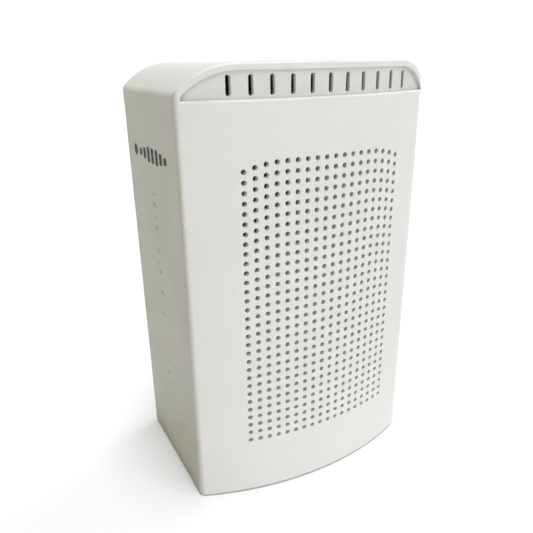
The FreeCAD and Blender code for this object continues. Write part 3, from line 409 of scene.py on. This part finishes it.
# ================================================================ flat artwork
def arc_band(cx, cy, radius, width, start=0.0, end=360.0, steps=32):
    """A band along an arc, as an outline; a full ring comes as two half bands."""
    if end - start > 359.0:
        half = (start + end) / 2
        return (arc_band(cx, cy, radius, width, start, half, steps)
                + arc_band(cx, cy, radius, width, half, end, steps))
    outline = []
    angles = [math.radians(start + (end - start) * i / steps) for i in range(steps + 1)]
    for a in angles:
        outline.append((cx + (radius + width / 2) * math.cos(a), cy + (radius + width / 2) * math.sin(a)))
    for a in reversed(angles):
        outline.append((cx + (radius - width / 2) * math.cos(a), cy + (radius - width / 2) * math.sin(a)))
    return [outline]


def bar(x0, y0, x1, y1, width, steps=8):
    """A straight stroke with round ends."""
    turn = math.atan2(y1 - y0, x1 - x0)
    outline = []
    for x, y, first in ((x1, y1, turn - math.pi / 2), (x0, y0, turn + math.pi / 2)):
        for i in range(steps + 1):
            a = first + math.pi * i / steps
            outline.append((x + width / 2 * math.cos(a), y + width / 2 * math.sin(a)))
    return [outline]


def disc(cx, cy, radius, steps=28):
    angles = [2 * math.pi * i / steps for i in range(steps)]
    return [[(cx + radius * math.cos(a), cy + radius * math.sin(a)) for a in angles]]


def block(x0, x1, y0, y1, corner, steps=6):
    """A rectangle with round corners, as an outline."""
    outline = []
    for cx, cy, first in ((x1 - corner, y1 - corner, 0), (x0 + corner, y1 - corner, 90),
                          (x0 + corner, y0 + corner, 180), (x1 - corner, y0 + corner, 270)):
        for i in range(steps + 1):
            a = math.radians(first + 90 * i / steps)
            outline.append((cx + corner * math.cos(a), cy + corner * math.sin(a)))
    return [outline]


def print_on(name, shapes, place, right, up, body, finish, thickness=INK):
    """Lays outlines, drawn in millimetres, on a surface as a film of ink."""
    out = right.cross(up)
    points = []
    faces = []
    for outline in shapes:
        first = len(points)
        count = len(outline)
        for lift in (-thickness, thickness):
            points += [place + right * x * MM + up * y * MM + out * lift for x, y in outline]
        faces.append(tuple(range(first + count, first + 2 * count)))
        faces.append(tuple(reversed(range(first, first + count))))
        for i in range(count):
            j = (i + 1) % count
            faces.append((first + i, first + j, first + count + j, first + count + i))
    mesh = bpy.data.meshes.new(name)
    mesh.from_pydata(points, [], faces)
    mesh.materials.append(finish)
    piece = bpy.data.objects.new(name, mesh)
    bpy.context.scene.collection.objects.link(piece)
    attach(piece, body)
    return piece


# Pictograms, drawn round their middle in millimetres. A ring is given by centre, radius, width and angles.
def power_icon():
    return arc_band(0, 0, 0.95, STROKE, 125, 415) + bar(0, 0.25, 0, 1.15, STROKE)


def fibre_icon():
    return (disc(-0.9, -0.7, 0.3) + arc_band(-0.9, -0.7, 1.0, STROKE, 0, 90)
            + arc_band(-0.9, -0.7, 1.75, STROKE, 0, 90))


def link_icon():
    return (block(-1.1, -0.3, -0.95, -0.25, 0.12) + block(0.3, 1.1, -0.95, -0.25, 0.12)
            + block(-0.4, 0.4, 0.35, 1.05, 0.12) + bar(0, 0.25, 0, -0.05, 0.22)
            + bar(-0.7, -0.05, 0.7, -0.05, 0.22))


def globe_icon():
    return arc_band(0, 0, 0.98, 0.28) + bar(-0.8, 0, 0.8, 0, 0.24) + arc_band(-0.62, 0, 1.02, 0.22, -48, 48)


def radio_icon():
    return (disc(0, -0.85, 0.26) + arc_band(0, -0.85, 0.75, STROKE, 45, 135)
            + arc_band(0, -0.85, 1.35, STROKE, 45, 135) + arc_band(0, -0.85, 1.95, STROKE, 45, 135))


def phone_icon():
    return arc_band(0, -1.0, 1.35, 0.5, 35, 145) + disc(-1.12, -0.35, 0.42) + disc(1.12, -0.35, 0.42)


def pairing_icon():
    return (arc_band(0, 0, 1.0, STROKE, 20, 150) + arc_band(0, 0, 1.0, STROKE, 200, 330)
            + disc(0, 0, 0.32))


def flanked(icon, reach):
    """A pictogram with a short rule on each side, out to the reach."""
    return icon + bar(-reach, 0, -ICON_EDGE, 0, RULE_WIDTH) + bar(ICON_EDGE, 0, reach, 0, RULE_WIDTH)


def plug_icon():
    return arc_band(0, 0, 1.25, 0.4) + disc(0, 0, 0.45)


def socket_icon():
    return block(-1.5, 1.5, -0.9, 0.9, 0.25)


def emblem():
    """A plain mark: a disc, and a row of upright bars that grow towards the middle and shrink again."""
    shapes = disc(EMBLEM_DISC_AT, 0, EMBLEM_DISC_RADIUS)
    for i, half in enumerate(EMBLEM_BAR_HALVES):
        left = EMBLEM_BARS_FROM + EMBLEM_BAR_PITCH * i
        shapes += block(left, left + EMBLEM_BAR_WIDTH, -half, half, EMBLEM_CORNER)
    return shapes


# strokes of the numerals one to four, on a grid one unit wide and two units tall
NUMERALS = {
    "1": ((0.1, 1.5, 0.6, 2.0), (0.6, 2.0, 0.6, 0.0)),
    "2": ((0.0, 1.8, 0.3, 2.0), (0.3, 2.0, 0.8, 2.0), (0.8, 2.0, 1.0, 1.6), (1.0, 1.6, 0.0, 0.0),
          (0.0, 0.0, 1.0, 0.0)),
    "3": ((0.0, 2.0, 1.0, 2.0), (1.0, 2.0, 0.45, 1.15), (0.45, 1.15, 1.0, 0.75), (1.0, 0.75, 0.8, 0.0),
          (0.8, 0.0, 0.0, 0.1)),
    "4": ((0.8, 0.0, 0.8, 2.0), (0.8, 2.0, 0.0, 0.6), (0.0, 0.6, 1.1, 0.6)),
}


def numeral(digit):
    unit = DIGIT_HEIGHT / 2
    shapes = []
    for x0, y0, x1, y1 in NUMERALS[digit]:
        shapes += bar((x0 - 0.5) * unit, (y0 - 1) * unit, (x1 - 0.5) * unit, (y1 - 1) * unit, DIGIT_STROKE)
    return shapes


def side_prints(grey, black):
    """The prints on the indicator side, read from outside the shell."""
    right = Vector((0, -1, 0))
    up = Vector((0, 0, 1))
    icons = (power_icon(), fibre_icon(), link_icon(), globe_icon(), radio_icon(), phone_icon())
    for i, (icon, reach) in enumerate(zip(icons, RULE_REACHES)):
        z = LED_TOP - i * LED_PITCH - ICON_DROP
        print_on(f"indicator_print_{i + 1}", flanked(icon, reach), Vector((SIDE, MARK_Y, z)), right, up,
                 "enclosure", grey)
    button_face = Vector((BUTTON_BOX[0].x, MARK_Y, BUTTON_Z))
    paired = flanked(pairing_icon(), BUTTON_RULE_REACH)
    print_on("button_print", paired, button_face, right, up, "wps_button", grey)
    mark_place = Vector((SIDE, MARK_CENTRE_Y, MARK_CENTRE_Z))
    print_on("side_mark", emblem(), mark_place, right, up, "enclosure", black)


def panel_prints(grey):
    """Pictograms and numerals beside the sockets, read from outside the port side."""
    right = Vector((0, 1, 0))
    up = Vector((0, 0, 1))
    prints = {"power_button": power_icon(), "dc_jack": plug_icon(), "usb_socket": socket_icon(),
              "phone_jack": phone_icon(), "wifi_button": radio_icon(), "fibre_adapter": fibre_icon()}
    for digit in NUMERALS:
        prints[f"lan_jack_{digit}"] = numeral(digit)
    for node, shapes in prints.items():
        low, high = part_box(node)
        place = Vector((PANEL_FACE, PANEL_PRINT_Y, (low.z + high.z) / 2))
        print_on(f"{node}_print", shapes, place, right, up, "enclosure", grey)


def frame_band(width, height, line):
    """A thin rectangular frame, as four bars."""
    x = width / 2
    y = height / 2
    return (bar(-x, -y, x, -y, line) + bar(x, -y, x, y, line)
            + bar(x, y, -x, y, line) + bar(-x, y, -x, -y, line))


def rear_label(paper, grey):
    """The blank rating label in its shallow pocket on the rear cover."""
    right = Vector((-1, 0, 0))
    up = Vector((0, 0, 1))
    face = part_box("rear_cover")[1].y - LABEL_DEPTH
    sheet = block(-LABEL_WIDTH / 2, LABEL_WIDTH / 2, -LABEL_HEIGHT / 2, LABEL_HEIGHT / 2, LABEL_CORNER)
    on_cover = Vector((0, face, LABEL_Z))
    print_on("rear_label", sheet, on_cover, right, up, "enclosure", paper, LABEL_THICKNESS)
    ruled = frame_band(LABEL_WIDTH - 2 * LABEL_MARGIN, LABEL_HEIGHT - 2 * LABEL_MARGIN, RULE_WIDTH)
    on_label = Vector((0, face + LABEL_THICKNESS, LABEL_Z))
    print_on("rear_label_frame", ruled, on_label, right, up, "enclosure", grey)


# ================================================================ studio
def make_camera():
    forward = Vector((math.sin(CAMERA_TURN) * math.cos(CAMERA_DIP),
                      math.cos(CAMERA_TURN) * math.cos(CAMERA_DIP),
                      -math.sin(CAMERA_DIP)))
    level = Vector((math.cos(CAMERA_TURN), -math.sin(CAMERA_TURN), 0))
    upward = level.cross(forward)
    right = level * math.cos(CAMERA_ROLL) + upward * math.sin(CAMERA_ROLL)
    up = upward * math.cos(CAMERA_ROLL) - level * math.sin(CAMERA_ROLL)
    data = bpy.data.cameras.new("camera")
    data.sensor_width = SENSOR
    data.lens = LENS
    data.clip_start = 0.01
    camera = bpy.data.objects.new("camera", data)
    bpy.context.scene.collection.objects.link(camera)
    turn = Matrix((right, up, -forward)).transposed().to_4x4()
    camera.matrix_world = Matrix.Translation(CAMERA_PLACE) @ turn
    bpy.context.scene.camera = camera


def ring_points(z):
    angles = [2 * math.pi * i / WALL_SIDES for i in range(WALL_SIDES)]
    return [(FLOOR_RADIUS * math.cos(a), FLOOR_RADIUS * math.sin(a), z) for a in angles]


def staged(name, points, faces, material):
    """A piece of the studio. It casts no shadow, so the low lights reach the object through it."""
    mesh = bpy.data.meshes.new(name)
    mesh.from_pydata(points, [], faces)
    mesh.materials.append(material)
    piece = bpy.data.objects.new(name, mesh)
    bpy.context.scene.collection.objects.link(piece)
    piece.visible_shadow = False


def make_floor():
    """A round floor of pale paper."""
    paper = Finish("floor_paper", FLOOR_COLOUR, STUDIO_ROUGHNESS)
    paper.set(Base_Color=paper.mixed(paper.noise(3, 2), scaled(FLOOR_COLOUR, 0.995), FLOOR_COLOUR))
    staged("floor", ring_points(0), [tuple(range(WALL_SIDES))], paper.material)


def make_wall():
    """A low white wall all the way round the floor, which gives light and reflects none."""
    wall = Finish("backdrop_white", (0, 0, 0), STUDIO_ROUGHNESS)
    height = wall.node("ShaderNodeSeparateXYZ", Vector=wall.place).outputs["Z"]
    glow = wall.remap(height, BRIGHT_UP_TO, WALL_HEIGHT, WALL_GLOW, WALL_TOP_GLOW)
    wall.set(Emission_Color=(1, 1, 1), Emission_Strength=glow)
    points = ring_points(0) + ring_points(WALL_HEIGHT)
    faces = []
    for i in range(WALL_SIDES):
        j = (i + 1) % WALL_SIDES
        faces.append((i, i + WALL_SIDES, j + WALL_SIDES, j))
    staged("backdrop", points, faces, wall.material)


def soft_sun(name, turn, height, strength, spread, colour):
    """Even light from far away: turn in degrees from -Y towards +X, height in degrees above the floor."""
    lamp = bpy.data.lights.new(name, "SUN")
    lamp.energy = strength
    lamp.angle = math.radians(spread)
    lamp.color = colour
    holder = bpy.data.objects.new(name, lamp)
    bpy.context.scene.collection.objects.link(holder)
    turn = math.radians(turn)
    height = math.radians(height)
    level = math.cos(height)
    source = Vector((math.sin(turn) * level, -math.cos(turn) * level, math.sin(height)))
    holder.location = source
    holder.rotation_mode = "QUATERNION"
    holder.rotation_quaternion = (-source).to_track_quat("-Z", "Y")


def make_world():
    world = bpy.data.worlds.new("studio")
    bpy.context.scene.world = world
    world.use_nodes = True
    background = world.node_tree.nodes["Background"]
    background.inputs["Color"].default_value = (*WORLD_COLOUR, 1)
    background.inputs["Strength"].default_value = WORLD_STRENGTH


def make_studio():
    make_camera()
    make_floor()
    make_wall()
    make_world()
    for number, light in enumerate(LIGHTS, 1):
        soft_sun(f"light_{number}", *light)
    bpy.context.scene.view_settings.view_transform = "Standard"


finishes = make_finishes()
dress_nodes(finishes)
ink_grey = printed("ink_grey", INK_GREY)
side_prints(ink_grey, printed("ink_black", INK_BLACK))
panel_prints(ink_grey)
rear_label(printed("label_paper", LABEL_PAPER), ink_grey)
make_studio()
